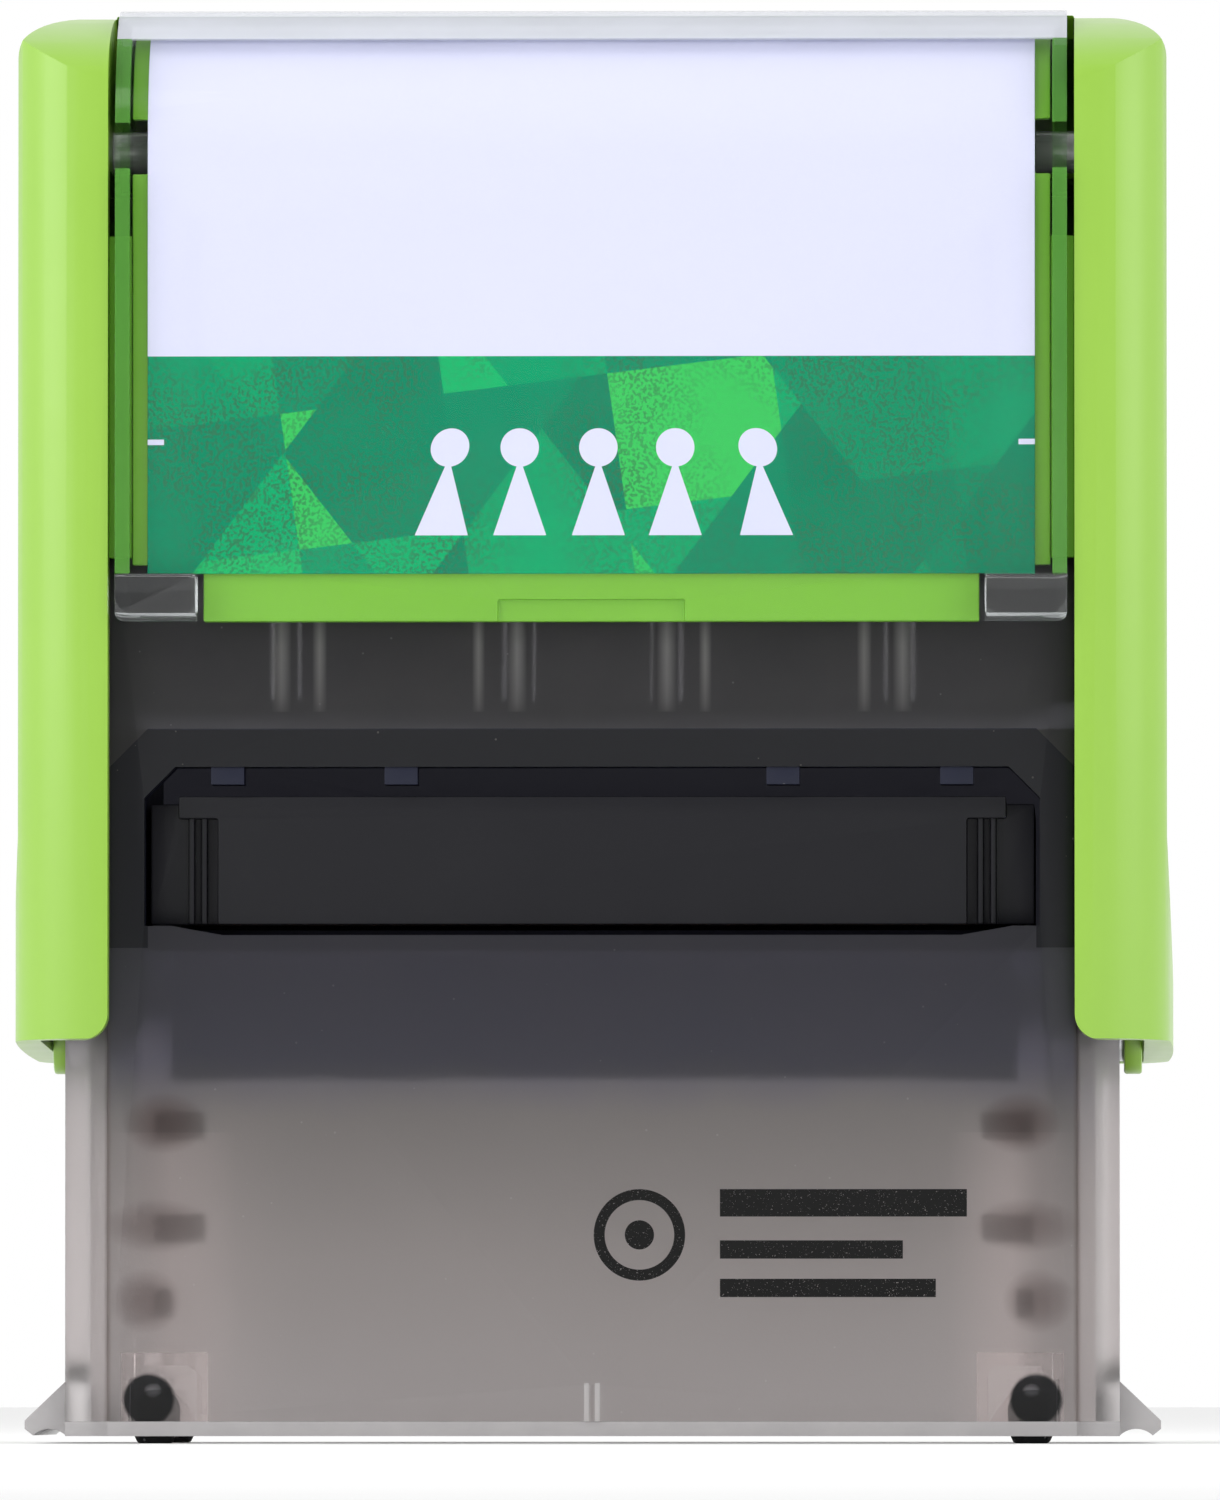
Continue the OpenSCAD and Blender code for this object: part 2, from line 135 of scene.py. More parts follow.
class Finish:
    """A material and the Principled shader that its nodes feed."""

    def __init__(self, name, **constants):
        self.material = bpy.data.materials.new(name)
        self.material.use_nodes = True
        self.tree = self.material.node_tree
        self.shader = self.tree.nodes["Principled BSDF"]
        self.output = self.tree.nodes["Material Output"]
        self.feed(**{key.replace("_", " "): value for key, value in constants.items()})

    def put(self, socket, value):
        if isinstance(value, Wire):
            self.tree.links.new(value.socket, socket)
        elif socket.type == "RGBA" and len(value) == 3:
            socket.default_value = (*value, 1)
        else:
            socket.default_value = value

    def node(self, kind, settings=None, sockets=None, out=0):
        made = self.tree.nodes.new("ShaderNode" + kind)
        for key, value in (settings or {}).items():
            if key == "stops":
                self.stops(made.color_ramp, value)
            else:
                setattr(made, key, value)
        for key, value in (sockets or {}).items():
            self.put(made.inputs[key], value)
        return Wire(self, made.outputs[out])

    def stops(self, ramp, stops):
        while len(ramp.elements) < len(stops):
            ramp.elements.new(1)
        for element, (place, colour) in zip(ramp.elements, stops):
            element.position = place
            element.color = (*colour, 1)

    def feed(self, **sockets):
        for name, value in sockets.items():
            self.put(self.shader.inputs[name], value)

    def place(self):
        return self.node("TexCoord", out=3)

    def axes(self):
        """The place on the piece as three numbers in millimetres."""
        split = self.node("SeparateXYZ", sockets={0: self.place()}).socket.node
        return [Wire(self, split.outputs[i]) * (1 / mm) for i in range(3)]

    def noise(self, size, detail=2.0, stretch=(1, 1, 1)):
        """Noise whose blotches are about size metres across."""
        where = self.node("Mapping", sockets={"Vector": self.place(), "Scale": stretch})
        return self.node("TexNoise", sockets={"Vector": where, "Scale": 1 / size, "Detail": detail})

    def specks(self, size, share):
        """1 on small round specks that lie about size apart, and 0 elsewhere."""
        dots = self.node("TexVoronoi", sockets={"Vector": self.place(), "Scale": 1 / size})
        return dots < share

    def ramp(self, value, stops):
        return self.node("ValToRGB", {"stops": stops}, {"Fac": value})

    def blend(self, share, first, second):
        return self.node("Mix", {"data_type": "RGBA"}, {0: share, 6: first, 7: second}, out=2)

    def bump(self, height, depth):
        return self.node("Bump", sockets={"Height": height, "Distance": depth})

    def layered(self, *layers):
        """Lays other shaders over the finish's own, each one where its mask is 1."""
        surface = Wire(self, self.shader.outputs[0])
        for mask, shader in layers:
            surface = self.node("MixShader", sockets={0: mask, 1: surface, 2: shader})
        self.put(self.output.inputs["Surface"], surface)


print("Shader maths ready")

# %% [markdown]
# ## Moulded plastics
# The grips are a satin lime plastic. A mould leaves a fine spark texture, the colour drifts a little
# with the wall's thickness, and handling polishes patches of it. All three come from noise in the
# object's own coordinates, so the pattern stays on the piece from every side. A thin rough coat gives
# the grips their broad soft highlights, and the dark inner plastics mirror less than the lime.

# %% Moulded plastics
def moulded(name, colour, deep, roughness, dust=0.0, coat=0.0):
    """A moulded plastic: two close colours, a fine grain, worn patches and, if asked for, dust."""
    finish = Finish(name, Coat_Weight=coat, Coat_Roughness=0.36)
    drift = finish.noise(9 * mm, 3)
    wear = finish.noise(2.5 * mm, 4)
    spark = finish.noise(0.12 * mm, 3)
    base = finish.blend(drift, colour, deep)
    if dust:
        lint = finish.specks(0.9 * mm, 0.07) * dust
        base = finish.blend(lint, base, (0.55, 0.55, 0.56))
    finish.feed(**{
        "Base Color": base,
        "Roughness": (wear - 0.5) * 0.16 + roughness,
        "Normal": finish.bump(spark, 0.004 * mm),
    })
    return finish.material


lime = moulded("lime_satin", (0.272, 0.510, 0.040), (0.250, 0.484, 0.032), 0.40, coat=0.7)
lime_panel = moulded("lime_panel", (0.168, 0.452, 0.026), (0.155, 0.425, 0.022), 0.45)
navy = moulded("navy_moulded", (0.016, 0.018, 0.034), (0.012, 0.014, 0.028), 0.45, dust=0.15)
black = moulded("black_moulded", (0.012, 0.012, 0.015), (0.008, 0.008, 0.011), 0.42)
dull_specular = 0.2
for dull in (navy, black):
    dull.node_tree.nodes["Principled BSDF"].inputs["Specular IOR Level"].default_value = dull_specular
print("Plastics:", lime.name, lime_panel.name, navy.name, black.name)

# %% [markdown]
# ## Masks
# A mask is a sum on the place that is 1 on a mark and 0 beside it. Four small ones draw every mark on
# the housing and the card: a disc, an upright rectangle, a soft line and a soft oval. All of them count
# in millimetres, and the soft ones draw on both sides of the middle at once.

# %% Masks
def disc(x, z, centre_x, centre_z, radius):
    """1 inside a circle."""
    across, up = x - centre_x, z - centre_z
    return (across * across + up * up) < radius * radius


def bar(x, z, left, right, low, high):
    """1 inside an upright rectangle."""
    across = abs(x - (left + right) / 2) < (right - left) / 2
    return across * (abs(z - (low + high) / 2) < (high - low) / 2)


def streak(x, centre, half_width):
    """A soft upright line: 1 along its centre, 0 at its edges."""
    return (1 - abs(abs(x) - centre) / half_width).larger(0)


def smudge(x, z, centre_x, centre_z, half_width, half_height):
    """A soft oval: 1 at its centre, 0 at its edge."""
    across = (abs(x) - centre_x) / half_width
    up = (z - centre_z) / half_height
    return (1 - across * across - up * up).larger(0)


print("Masks ready")

# %% [markdown]
# ## Smoke plastic
# The housing is tinted, see-through plastic with an etched surface. Rough transmission does what the
# etching does: a part that touches the wall shows sharply, and one further in turns to a soft shadow.
# The upper half stands before closed works and gets little light from behind, and the lower half stands
# before an empty bay that the light crosses, so a painted shade deepens the tint over a soft line at the
# height of the ink cartridge, and the upper rear wall is painted dark. The parts that touch the front
# wall from behind could be left to the light alone, but a render loses light at each tinted layer and
# they would merge into black. They are painted into the tint instead, one layer after another, with
# painted highlights on the ribs and on the heads of the feet, a painted line of light at the base's
# centre, painted light beside the cam tracks and painted shade in the corner of each flange.

# %% What shows through the front wall
def cage_mask(x, z):
    """The cage: a plate with its upper corners cut off, and its two uprights below."""
    plate = (abs(x) + (z - 36.5).larger(0) < 26.9) * (abs(z - 33.1) < 6.0)
    return plate * ((z > 28.3) + (abs(x) > 24.3)).smaller(1)


def rib_highlight_mask(x, z):
    """Painted highlights of the upright ribs above the cage, in pairs of a wide and a narrow line."""
    lines = streak(x, 4.1, 0.55) + streak(x, 6.2, 0.35) + streak(x, 14.9, 0.4) + streak(x, 17.0, 0.55)
    return lines * (1 - abs(z - 43.6) / 3.6).larger(0).power(0.4) * 0.8


def lug_mask(x, z):
    """Three lugs of each cam track, from the top down."""
    upper = smudge(x, z, 23.4, 17.5, 2.3, 1.7)
    middle = smudge(x, z, 23.8, 11.9, 3.0, 1.5) * 0.7
    lower = smudge(x, z, 24.4, 7.8, 2.0, 1.8) * 0.8
    return (upper + middle + lower) * 0.75


def plain_print(x, y, z):
    """A ring round a dot, with three bars beside it, on the outside of the front wall."""
    ring_x, ring_z, bars_left = 2.6, 11.4, 7.0
    ring = disc(x, z, ring_x, ring_z, 2.5) - disc(x, z, ring_x, ring_z, 1.9)
    dot = disc(x, z, ring_x, ring_z, 0.8)
    bars = bar(x, z, bars_left, 20.5, 12.4, 13.9) + bar(x, z, bars_left, 17.0, 10.1, 11.1)
    bars = bars + bar(x, z, bars_left, 18.8, 8.0, 9.0)
    return (ring + dot + bars) * (y < -14.55)


print("Wall masks ready")

# %% [markdown]
# The tint is laid on like paint, from the broadest wash to the smallest mark. The plain print is a shader
# of its own on top, since ink isn't see-through, and small gaps keep it from looking like a decal.

# %% Smoke plastic, with a plain printed mark
def smoke_plastic():
    finish = Finish("smoke_frosted", Transmission_Weight=0.9, IOR=1.36)
    x, y, z = finish.axes()
    etch = finish.noise(0.16 * mm, 3)
    patches = finish.noise(5 * mm, 3)
    ramp_height, ragged_line = 50, 2.5
    # The plastic's tint, with a painted shade that darkens it upwards from the ink cartridge, where the
    # closed works let little light through from behind.
    tint_and_painted_shade_by_height = finish.ramp((z + (patches - 0.5) * ragged_line) / ramp_height, [
        (0.02, (0.58, 0.555, 0.555)), (0.20, (0.50, 0.475, 0.47)), (0.36, (0.37, 0.355, 0.35)),
        (0.42, (0.23, 0.23, 0.30)), (0.56, (0.15, 0.15, 0.21)), (0.62, (0.11, 0.11, 0.125)),
        (1.0, (0.09, 0.09, 0.10))])
    front_wall = y < -12.0
    pocket = (abs(abs(x) - 23.4) < 2.4) * (z < 5.0) * front_wall
    foot_head = (smudge(x, z, 24.25, 2.4, 1.5, 1.5) * 4).smaller(1) * front_wall
    # A painted line of light at the base's centre, where light shows through the wall.
    centre_light_line = (abs(abs(x) - 0.3) < 0.13) * (abs(z - 2.0) < 1.3) * front_wall
    # The plastic's own tint, with painted light and shade laid into it below.
    tint_and_painted_light = finish.blend(patches * 0.12, tint_and_painted_shade_by_height, (0.70, 0.62, 0.61))
    for mask, colour in (
        ((abs(x) > 26.55) * 0.75, (0.86, 0.82, 0.82)),  # side flanges
        # painted light beside the cam tracks
        (streak(x, 23.0, 3.5) * (z < 17.0) * 0.35, (0.86, 0.76, 0.75)),  # glow beside the cam tracks
        (cage_mask(x, z) * front_wall, (0.020, 0.024, 0.045)),
        # painted highlights of the ribs
        (rib_highlight_mask(x, z) * front_wall, (1.0, 0.98, 0.96)),
        # painted light along the line at the base's centre
        (centre_light_line * 0.8, (1.0, 1.0, 1.0)),
        (pocket * 0.30, (0.80, 0.70, 0.69)),
        # painted shade in the corner between face and flange
        (streak(x, 26.5, 0.22) * 0.6, (0.20, 0.14, 0.12)),  # corner between face and flange
        (finish.specks(1.3 * mm, 0.045) * 0.35, (0.9, 0.9, 0.9)),  # dust
        (lug_mask(x, z) * front_wall, (0.16, 0.105, 0.10)),
        (foot_head, (0.006, 0.006, 0.008)),
        # a painted highlight on the head of each foot
        (smudge(x, z, 24.0, 2.9, 0.5, 0.4) * foot_head * 0.5, (0.55, 0.56, 0.60)),  # its highlight
        # painted shade: the upper rear wall goes dark, where the closed works let no light through
        ((y > 11.0) * (z > 24.0), (0.015, 0.015, 0.02)),  # works behind the rear wall
    ):
        tint_and_painted_light = finish.blend(mask, tint_and_painted_light, colour)
    finish.feed(**{
        "Base Color": tint_and_painted_light,
        "Roughness": pocket * -0.22 + 0.30,
        "Normal": finish.bump(etch, 0.004 * mm),
    })
    ink = finish.node("BsdfPrincipled", sockets={"Base Color": (0.004, 0.004, 0.004), "Roughness": 0.6,
                                                 "Specular IOR Level": 0.2})
    gaps_in_the_ink = finish.noise(0.07 * mm, 2) > 0.3
    finish.layered((plain_print(x, y, z) * gaps_in_the_ink, ink))
    return finish.material


smoke = smoke_plastic()
print("Smoke plastic:", smoke.name)

# %% [markdown]
# ## Half-clear plastics
# The base rim and the cam tracks are paler than the housing and stand right against it. More refracting
# layers there would swallow the light, so these two are half-clear by opacity. Each has two zones: the
# rim is clearer round the pockets of the feet, and the tracks are darker at their lugs.

# %% Half-clear plastics
def veiled(name, colour, shade, shaded, alpha):
    """A half-clear plastic, moulded in one colour but in a second one where shaded is 1."""
    finish = Finish(name, Roughness=0.16)
    flow = finish.noise(2.2 * mm, 3)
    where = shaded(*finish.axes())
    flowing = finish.blend(flow * 0.3, colour, (0.6, 0.57, 0.57))
    veil = finish.node("Mix", {"data_type": "FLOAT"}, {0: where, 2: alpha[0], 3: alpha[1]})
    finish.feed(**{
        "Base Color": finish.blend(where, flowing, shade),
        "Alpha": veil + flow * 0.08,
        "Normal": finish.bump(flow, 0.03 * mm),
    })
    return finish.material


pale_smoke = veiled("smoke_pale", (0.40, 0.385, 0.39), (0.62, 0.50, 0.49),
                    lambda x, y, z: (abs(x) < 25.3) * (z > 1.25), (0.80, 0.02))
track_smoke = veiled("smoke_track", (0.55, 0.48, 0.47), (0.10, 0.06, 0.06),
                     lambda x, y, z: abs(x) < 24.15, (0.06, 0.30))
print("Half-clear plastics:", pale_smoke.name, track_smoke.name)

# %% [markdown]
# ## Clear plastic
# The index window is polished and almost colourless. Its thin walls let light straight through and
# mirror a little more at a slant, so they are a mirror that is almost transparent. Its thick corner
# blocks bend what lies behind them, so they use real refraction. Its crown is seen edge on and looks
# milky. Its side walls carry a painted shade, a dark lime that stands for the handle in shade behind
# them, but for a clear strip in front of the hinge pins. Each zone is a shader of its own, laid over the
# first by a mask.

# %% Clear plastic
def clear_plastic():
    block_x, cheek_x, pin_half = 21.5, 25.2, 1.25
    block_top, crown_base, pin_z = 47.5, 76.9, hinge_z / mm
    finish = Finish("clear_polished", Metallic=1.0)
    hair = finish.noise(1.1 * mm, 4, stretch=(0.15, 1, 1))
    smear = finish.noise(6 * mm, 3)
    x, y, z = finish.axes()
    slant = finish.node("LayerWeight", sockets={"Blend": 0.35}, out=1).power(4)
    finish.feed(**{
        "Base Color": finish.blend(smear, (0.93, 0.94, 0.97), (0.90, 0.915, 0.95)),
        "Roughness": smear * 0.06 + 0.02,
        "Alpha": slant * 0.8 + smear * 0.008 + 0.002,
        "Normal": finish.bump(hair, 0.0008 * mm),
    })
    block = finish.node("BsdfPrincipled", sockets={"Base Color": (0.86, 0.88, 0.89), "Roughness": 0.02,
                                                   "Transmission Weight": 1.0, "IOR": 1.46})
    # Painted shade: a dark lime on the side walls stands for the handle in shade behind them; the strip
    # in front of the pins stays clear.
    cheek = finish.node("BsdfPrincipled", sockets={
        "Base Color": finish.blend(smear, (0.105, 0.34, 0.045), (0.07, 0.27, 0.03)),
        "Roughness": 0.08, "Alpha": (abs(z - pin_z) < pin_half) * -0.55 + 0.62})
    crown = finish.node("BsdfPrincipled", sockets={
        "Base Color": finish.blend(smear, (0.80, 0.82, 0.90), (0.74, 0.76, 0.85)),
        "Roughness": 0.12, "Alpha": smear * 0.2 + 0.45})
    at_cheek = (abs(x) > cheek_x) * (z > block_top) * (z < crown_base)
    at_block = (abs(x) > block_x) * (z < block_top)
    finish.layered((at_cheek, cheek), (at_block, block), (z > crown_base, crown))
    return finish.material


clear = clear_plastic()
print("Clear plastic:", clear.name)

# %% [markdown]
# ## Steel, rubber, felt, foam and print polymer
# Small parts still show up close: drawn wire has fine lines, rubber has a dry grain with specks of
# lint, felt is a mat of fibres, foam has open cells, and the print plate carries old ink on its face.
# The hinge pins sit in a dark recess, where a true metal would mirror only shade, so theirs is mostly a
# bright coat over a pale base.

# %% Small finishes
def drawn_steel():
    finish = Finish("drawn_steel", Metallic=1.0)
    lines = finish.noise(0.25 * mm, 3, stretch=(0.1, 1, 1))
    tone = finish.blend(lines, (0.72, 0.73, 0.75), (0.55, 0.56, 0.58))
    finish.feed(**{"Base Color": tone, "Roughness": lines * 0.2 + 0.12})
    return finish.material


def foot_rubber():
    finish = Finish("foot_rubber")
    grain = finish.noise(0.3 * mm, 4)
    lint = finish.specks(0.55 * mm, 0.16)
    finish.feed(**{
        "Base Color": finish.blend(lint, (0.018, 0.019, 0.021), (0.22, 0.23, 0.24)),
        "Roughness": grain * 0.3 + 0.4,
        "Normal": finish.bump(grain, 0.06 * mm),
    })
    return finish.material


def ink_felt():
    finish = Finish("ink_felt", Roughness=0.95)
    fibres = finish.noise(0.22 * mm, 5, stretch=(1, 0.35, 1))
    finish.feed(**{
        "Base Color": finish.ramp(fibres, [(0.3, (0.006, 0.006, 0.012)), (0.75, (0.035, 0.036, 0.06))]),
        "Normal": finish.bump(fibres, 0.12 * mm),
    })
    return finish.material


def foam_tape():
    finish = Finish("foam_tape", Roughness=0.9)
    cells = finish.node("TexVoronoi", sockets={"Vector": finish.place(), "Scale": 1 / (0.35 * mm)})
    finish.feed(**{
        "Base Color": finish.ramp(cells, [(0.0, (0.09, 0.09, 0.095)), (0.5, (0.22, 0.22, 0.225))]),
        "Normal": finish.bump(cells, 0.1 * mm),
    })
    return finish.material


def print_polymer():
    finish = Finish("print_polymer", Roughness=0.5)
    z = finish.axes()[2]
    stain = finish.noise(1.6 * mm, 4)
    inked = (z > 27.9) * (stain > 0.3)
    amber = finish.blend(stain, (0.42, 0.16, 0.07), (0.34, 0.12, 0.05))
    finish.feed(**{
        "Base Color": finish.blend(inked, amber, (0.015, 0.015, 0.035)),
        "Normal": finish.bump(stain, 0.02 * mm),
    })
    return finish.material


def bright_pin():
    finish = Finish("bright_pin", Coat_Weight=1.0, Coat_Roughness=0.05, Metallic=0.12)
    lines = finish.noise(0.3 * mm, 3, stretch=(0.1, 1, 1))
    finish.feed(**{
        "Base Color": finish.blend(lines, (0.96, 0.965, 0.98), (0.72, 0.73, 0.76)),
        "Roughness": lines * 0.2 + 0.15,
    })
    return finish.material


steel, rubber, felt = drawn_steel(), foot_rubber(), ink_felt()
pin_steel = bright_pin()
foam, polymer = foam_tape(), print_polymer()
print("Small finishes:", [finish.name for finish in (steel, pin_steel, rubber, felt, foam, polymer)])

# %% [markdown]
# ## The printed card
# The card is coated stock, plain above and printed below. The band is a field of flat green facets:
# four families of slanted lines cut it into cells, and each cell takes a random green. The print is
# mottled with darker grains and a few pale ones. Five plain tokens, a disc on a triangle, stand in a row
# on it, and short white dashes mark the fold line.

# %% Facets and tokens
def facet_ids(finish, x, z):
    """One random number for each facet between four families of slanted lines."""
    counts = []
    for angle, offset, gap in ((8, 0, 9.0), (97, 2.1, 7.5), (38, 4.0, 12.0), (143, 6.5, 10.5)):
        turn = math.radians(angle)
        counts.append(((x * math.cos(turn) + z * math.sin(turn) + offset) * (1 / gap)).floor())
    seed = counts[0] + counts[1] * 7.3 + counts[2] * 3.9 + counts[3] * 11.7
    return finish.node("TexWhiteNoise", {"noise_dimensions": "1D"}, {"W": seed})


def token(x, z, centre, lean=0.0):
    """A plain token: a disc standing on a triangle, leaning a little."""
    foot_z, waist_z, neck_z, head_z, head_radius = 49.6, 51.5, 53.4, 54.4, 1.05
    foot_half, taper = 1.45, 0.34
    across = x - centre - (z - waist_z) * lean
    half_width = foot_half - (z - foot_z) * taper
    skirt = (abs(across) < half_width) * (z > foot_z) * (z < neck_z)
    return disc(across, z, 0, head_z, head_radius) + skirt


print("Facets and tokens ready")

# %% [markdown]
# The card brings paper and print together. The relief of the paper's fibres runs under both of them, so
# that neither looks like flat colour.

# %% The printed card
def printed_card():
    band_top, card_front = 59.4, -16.3
    finish = Finish("printed_card", Roughness=0.5, Specular_IOR_Level=0.12)
    x, y, z = finish.axes()
    fibres = finish.noise(0.18 * mm, 4, stretch=(1, 1, 2.2))
    paper = finish.blend(fibres, (0.66, 0.675, 0.84), (0.63, 0.645, 0.82))
    greens = finish.ramp(facet_ids(finish, x, z), [
        (0.0, (0.000, 0.20, 0.105)), (0.35, (0.000, 0.24, 0.12)), (0.62, (0.000, 0.29, 0.13)),
        (0.82, (0.001, 0.40, 0.14)), (1.0, (0.04, 0.50, 0.10))])
    cover = (finish.noise(7 * mm, 2) * 2.4 - 0.75).smaller(0.7).larger(0.1)
    dark_grains = (finish.noise(0.19 * mm, 3) > 0.52) * cover
    pale_grains = finish.specks(0.42 * mm, 0.12) * 0.16
    printed = finish.blend(dark_grains, greens, (0.035, 0.13, 0.065))
    printed = finish.blend(pale_grains, printed, (0.10, 0.50, 0.30))
    tokens = token(x, z, -8.0, 0.10) + token(x, z, -3.9) + token(x, z, 0.4) + token(x, z, 4.6)
    tokens = tokens + token(x, z, 9.4, -0.10)
    dashes = bar(abs(x), z, 23.35, 24.4, 54.55, 54.85)
    band = (z < band_top) * (1 - (tokens + dashes).smaller(1.0)) * (y < card_front)
    finish.feed(**{
        "Base Color": finish.blend(band, paper, printed),
        "Normal": finish.bump(fibres, 0.004 * mm),
    })
    return finish.material


card_stock = printed_card()
print("Card:", card_stock.name)

# %% [markdown]
# ## Tools of the bench
# Modelling by hand means selecting something and then acting on it. `editing` opens edit mode on one
# object only, and `pick` selects the points, edges or faces that pass a test on where they are.
# Everything else is Blender's own operators.

# %% Selecting and editing
def alone(obj):
    """Selects one object and nothing else."""
    bpy.ops.object.select_all(action="DESELECT")
    obj.hide_set(False)
    obj.select_set(True)
    bpy.context.view_layer.objects.active = obj
    return obj


@contextmanager
def editing(obj):
    """Edit mode on one object, with all of it selected at first."""
    alone(obj)
    bpy.ops.object.mode_set(mode="EDIT")
    bpy.ops.mesh.select_all(action="SELECT")
    yield
    bpy.ops.object.mode_set(mode="OBJECT")


def pick(obj, kind, test):
    """Selects only the points, edges or faces whose middle and direction or normal pass the test."""
    bpy.context.tool_settings.mesh_select_mode = (kind == "VERT", kind == "EDGE", kind == "FACE")
    mesh = bmesh.from_edit_mesh(obj.data)
    for part in (*mesh.faces, *mesh.edges, *mesh.verts):
        part.select_set(False)
    count = 0
    if kind == "FACE":
        parts = [(face, face.calc_center_median(), face.normal) for face in mesh.faces]
    elif kind == "VERT":
        parts = [(vertex, vertex.co, vertex.normal) for vertex in mesh.verts]
    else:
        parts = [(edge, (edge.verts[0].co + edge.verts[1].co) / 2,
                  (edge.verts[1].co - edge.verts[0].co).normalized()) for edge in mesh.edges]
    for part, middle, way in parts:
        if test(middle, way):
            part.select_set(True)
            count += 1
    mesh.select_flush_mode()
    bmesh.update_edit_mesh(obj.data)
    return count


def near(a, b, gap=0.01 * mm):
    """True where two measures are the same, but for rounding."""
    return abs(a - b) < gap


def along(way, axis):
    """True for an edge that runs along an axis: 0 is X, 1 is Y and 2 is Z."""
    return abs(way[axis]) > 0.999


def settle(obj):
    """Puts the object's place into its mesh."""
    alone(obj)
    bpy.ops.object.transform_apply(location=True, rotation=True, scale=True)
    return obj


print("Selecting and editing ready")

# %% [markdown]
# ## Starting shapes and finishing touches
# A piece starts as a block or a rod at its true size and place. Booleans cut it, and a bevel rounds its
# edges, because a real moulding never has a razor edge and that thin highlight is what makes it look
# made. `done` hands the finished piece over: it gives it its material and the body it rides on, and it
# hides the CAD node that it stands for.

# %% Blocks, rods, cuts and rounded edges
def block(name, low, high):
    """A box primitive between two corners."""
    bpy.ops.object.select_all(action="DESELECT")
    low, high = Vector(low), Vector(high)
    bpy.ops.mesh.primitive_cube_add(size=1, location=(low + high) / 2, scale=high - low)
    obj = bpy.context.object
    obj.name = obj.data.name = name
    return settle(obj)


def rod(name, radius, start, end, sides=48):
    """A cylinder primitive between two points."""
    bpy.ops.object.select_all(action="DESELECT")
    start, end = Vector(start), Vector(end)
    way = (end - start).to_track_quat("Z", "Y").to_euler()
    bpy.ops.mesh.primitive_cylinder_add(vertices=sides, radius=radius, depth=(end - start).length,
                                        location=(start + end) / 2, rotation=way)
    obj = bpy.context.object
    obj.name = obj.data.name = name
    return settle(obj)


def modify(obj, kind, **settings):
    """Adds a modifier and applies it."""
    alone(obj)
    modifier = obj.modifiers.new(kind.title(), kind)
    for key, value in settings.items():
        setattr(modifier, key, value)
    bpy.ops.object.modifier_apply(modifier=modifier.name)
    return obj


def cut(obj, cutter, operation="DIFFERENCE"):
    """Cuts, joins or trims with a second object, which is used up."""
    modify(obj, "BOOLEAN", operation=operation, solver="EXACT", object=cutter)
    bpy.data.objects.remove(cutter)
    return obj


def soften(obj, width, segments=2, angle=32):
    """Rounds the sharp edges and smooths the shading between them."""
    modify(obj, "BEVEL", width=width, segments=segments, limit_method="ANGLE",
           angle_limit=math.radians(angle), miter_outer="MITER_ARC")
    alone(obj)
    bpy.ops.object.shade_smooth_by_angle(angle=math.radians(angle))
    return obj


def done(obj, body, material, node):
    """Gives a finished piece its material and its body, and hides the CAD node that it stands for."""
    obj.data.materials.clear()
    obj.data.materials.append(material)
    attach(obj, body)
    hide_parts(node)
    print(obj.name, "on", body, "with", len(obj.data.polygons), "faces")
    return obj


print("Starting shapes and finishing touches ready")

# %% [markdown]
# ## Copies
# A piece that comes in a pair is modelled once and mirrored. A CAD node's loose triangles are merged into
# flat faces before anything else, because a bevel needs real edges to follow. `refined` makes such a
# copy, rounds its edges and hands it over in one go.

# %% Copies
def copy_of(obj, name):
    """A copy with its own mesh."""
    twin = obj.copy()
    twin.data = obj.data.copy()
    twin.name = twin.data.name = name
    bpy.context.scene.collection.objects.link(twin)
    return twin


def mirrored(obj, name, axis=0):
    """The same piece on the other side of the middle, with its faces turned outwards again."""
    twin = copy_of(obj, name)
    scale = [1, 1, 1]
    scale[axis] = -1
    alone(twin)
    twin.scale = scale
    settle(twin)
    with editing(twin):
        bpy.ops.mesh.normals_make_consistent(inside=False)
    return twin


def merged_copy(node, name):
    """A CAD node's shape as clean flat faces instead of loose triangles."""
    twin = copy_of(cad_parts[node], name)
    twin.parent = None
    twin.data.materials.clear()
    for key in [key for key in twin.keys() if key.startswith("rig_")]:  # marks of the CAD node itself
        del twin[key]
    with editing(twin):
        bpy.ops.mesh.customdata_custom_splitnormals_clear()
        bpy.ops.mesh.remove_doubles(threshold=0.002 * mm)
        bpy.ops.mesh.dissolve_limited(angle_limit=math.radians(0.5))
    return twin


def refined(node, name, body, material, width=0.12 * mm, segments=2):
    """A CAD node's shape with its edges rounded, finished and handed over."""
    twin = soften(merged_copy(node, name), width, segments)
    return done(twin, body, material, node)


print("Copies ready")

# %% [markdown]
# ## The grips
# Each grip is a thick hollow arm. From the front its top outer corner is a flattened round, seen from
# above it is a D, and from the side its top is a shallow dome. Each outline is simple, so each is made
# as a block of its own, and the solid that all three have in common is the arm.

# %% Grip outlines
low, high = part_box("right_grip")
corner_width, corner_height = 4.4 * mm, 2.7 * mm
lean, flare_height, heel = 0.55 * mm, 12 * mm, 0.9 * mm
nose, crown, crown_round = 4.2 * mm, 0.5 * mm, 10 * mm
dome_length, dome_height = 14 * mm, 4 * mm
print("Grip size in mm:", [round(v / mm, 1) for v in high - low])


